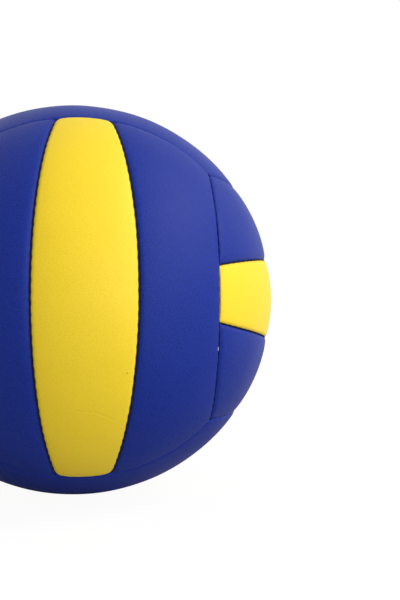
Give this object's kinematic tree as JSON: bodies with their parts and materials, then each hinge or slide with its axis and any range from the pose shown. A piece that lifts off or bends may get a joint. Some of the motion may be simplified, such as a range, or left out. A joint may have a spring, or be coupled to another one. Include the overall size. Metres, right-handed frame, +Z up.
{
  "type": "volleyball",
  "caption": "Round sewn ball of padded leather strips over an air bladder, with a recessed needle valve, for volleying over a net.",
  "frame": {"origin": "the ball's centre", "axes": "+Z up as the ball lies in the picture, the pictured face looks along -Y, the valve points along +Y"},
  "size_m": [0.21, 0.2099, 0.21],
  "materials": {
    "cover_blue": "fine-grained synthetic leather, soft sheen",
    "cover_yellow": "fine-grained synthetic leather, soft sheen",
    "foam_padding": "closed-cell foam",
    "lining_cloth": "plain-weave cotton",
    "seam_thread": "twisted waxed thread",
    "bladder_rubber": "smooth matt rubber",
    "valve_rubber": "moulded matt rubber"
  },
  "bodies": {
    "root": {"bladder": "bladder_rubber", "foam_back_centre": "foam_padding", "foam_back_left": "foam_padding", "foam_back_right": "foam_padding", "foam_bottom_centre": "foam_padding", "foam_bottom_front": "foam_padding", "foam_bottom_rear": "foam_padding", "foam_front_centre": "foam_padding", "foam_front_left": "foam_padding", "foam_front_right": "foam_padding", "foam_left_centre": "foam_padding", "foam_left_lower": "foam_padding", "foam_left_upper": "foam_padding", "foam_right_centre": "foam_padding", "foam_right_lower": "foam_padding", "foam_right_upper": "foam_padding", "foam_top_centre": "foam_padding", "foam_top_front": "foam_padding", "foam_top_rear": "foam_padding", "lining_back_centre": "lining_cloth", "lining_back_left": "lining_cloth", "lining_back_right": "lining_cloth", "lining_bottom_centre": "lining_cloth", "lining_bottom_front": "lining_cloth", "lining_bottom_rear": "lining_cloth", "lining_front_centre": "lining_cloth", "lining_front_left": "lining_cloth", "lining_front_right": "lining_cloth", "lining_left_centre": "lining_cloth", "lining_left_lower": "lining_cloth", "lining_left_upper": "lining_cloth", "lining_right_centre": "lining_cloth", "lining_right_lower": "lining_cloth", "lining_right_upper": "lining_cloth", "lining_top_centre": "lining_cloth", "lining_top_front": "lining_cloth", "lining_top_rear": "lining_cloth", "panel_back_centre": "cover_yellow", "panel_back_left": "cover_blue", "panel_back_right": "cover_blue", "panel_bottom_centre": "cover_yellow", "panel_bottom_front": "cover_blue", "panel_bottom_rear": "cover_blue", "panel_front_centre": "cover_yellow", "panel_front_left": "cover_blue", "panel_front_right": "cover_blue", "panel_left_centre": "cover_yellow", "panel_left_lower": "cover_blue", "panel_left_upper": "cover_blue", "panel_right_centre": "cover_yellow", "panel_right_lower": "cover_blue", "panel_right_upper": "cover_blue", "panel_top_centre": "cover_yellow", "panel_top_front": "cover_blue", "panel_top_rear": "cover_blue", "thread_border_seams": "seam_thread", "thread_strip_seams": "seam_thread", "valve": "valve_rubber", "valve_patch": "lining_cloth"}
  },
  "joints": []
}
